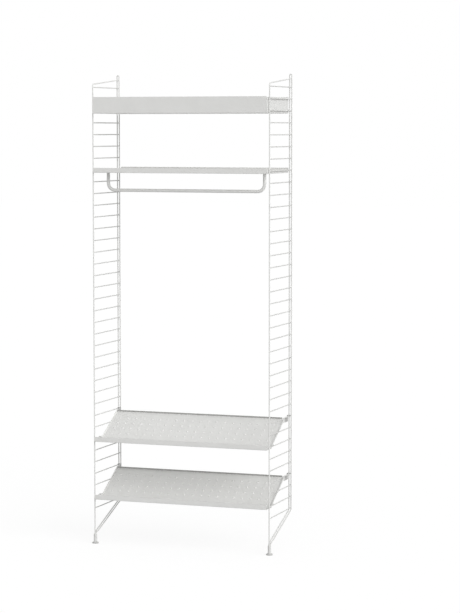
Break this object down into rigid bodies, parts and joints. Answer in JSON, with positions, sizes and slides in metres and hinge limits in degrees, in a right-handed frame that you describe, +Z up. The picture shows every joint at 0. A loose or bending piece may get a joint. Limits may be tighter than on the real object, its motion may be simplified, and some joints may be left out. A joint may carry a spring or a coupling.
{
  "type": "hallway shelf",
  "caption": "Wall-backed hallway shelf with wire ladder sides, a deep top tray, a hat shelf with a clothes rail and sloping shoe shelves, in white steel.",
  "frame": {"origin": "on the floor, midway between the two panels and midway between the shelf fronts and the wall plane", "axes": "+X to the right seen from the front, +Y towards the wall, +Z up; the front faces -Y"},
  "size_m": [0.8195, 0.3, 2.011],
  "materials": {
    "powder_coated_steel": "fine-textured semi-matt white powder coat",
    "powder_coated_rail": "smooth semi-matt white powder coat",
    "foot_plastic": "moulded, satin",
    "zinc_steel": "zinc plated"
  },
  "bodies": {
    "panels": {"left_front_wire": "powder_coated_steel", "left_rear_wire": "powder_coated_steel", "left_rungs": "powder_coated_steel", "left_foot_socket": "powder_coated_steel", "right_front_wire": "powder_coated_steel", "right_rear_wire": "powder_coated_steel", "right_rungs": "powder_coated_steel", "right_foot_socket": "powder_coated_steel"},
    "left_foot_disc": {"left_foot_pad": "foot_plastic"},
    "left_foot_thread": {"left_foot_stud": "zinc_steel"},
    "right_foot_disc": {"right_foot_pad": "foot_plastic"},
    "right_foot_thread": {"right_foot_stud": "zinc_steel"},
    "tray": {"top_tray": "powder_coated_steel"},
    "hat_shelf_and_rail": {"hat_shelf": "powder_coated_steel", "clothes_rail": "powder_coated_rail", "rail_inserts": "zinc_steel", "rail_screws": "zinc_steel"},
    "upper_shoe": {"upper_shoe_shelf": "powder_coated_steel", "upper_shoe_left_bracket": "powder_coated_steel", "upper_shoe_right_bracket": "powder_coated_steel"},
    "lower_shoe": {"lower_shoe_shelf": "powder_coated_steel", "lower_shoe_left_bracket": "powder_coated_steel", "lower_shoe_right_bracket": "powder_coated_steel"}
  },
  "joints": [
    {"name": "left_foot_level", "type": "slide", "parent": "panels", "child": "left_foot_disc", "axis": [0, 0, -1], "range_m": [0, 0.012]},
    {"name": "left_foot_turn", "type": "hinge", "parent": "left_foot_disc", "child": "left_foot_thread", "pos_m": [-0.3955, -0.1271, 0], "axis": [0, 0, 1], "range_deg": [-4320, 0]},
    {"name": "right_foot_level", "type": "slide", "parent": "panels", "child": "right_foot_disc", "axis": [0, 0, -1], "range_m": [0, 0.012]},
    {"name": "right_foot_turn", "type": "hinge", "parent": "right_foot_disc", "child": "right_foot_thread", "pos_m": [0.3955, -0.1271, 0], "axis": [0, 0, 1], "range_deg": [-4320, 0]},
    {"name": "tray_lift", "type": "slide", "parent": "panels", "child": "tray", "axis": [0, 0, 1], "range_m": [0, 0.01]},
    {"name": "hat_shelf_and_rail_lift", "type": "slide", "parent": "panels", "child": "hat_shelf_and_rail", "axis": [0, 0, 1], "range_m": [0, 0.01]},
    {"name": "upper_shoe_lift", "type": "slide", "parent": "panels", "child": "upper_shoe", "axis": [0, 0, 1], "range_m": [0, 0.01]},
    {"name": "lower_shoe_lift", "type": "slide", "parent": "panels", "child": "lower_shoe", "axis": [0, 0, 1], "range_m": [0, 0.01]}
  ],
  "couplings": [
    {"joint": "left_foot_turn", "follows": "left_foot_level", "rad_per_m": -6283.2},
    {"joint": "right_foot_turn", "follows": "right_foot_level", "rad_per_m": -6283.2}
  ]
}
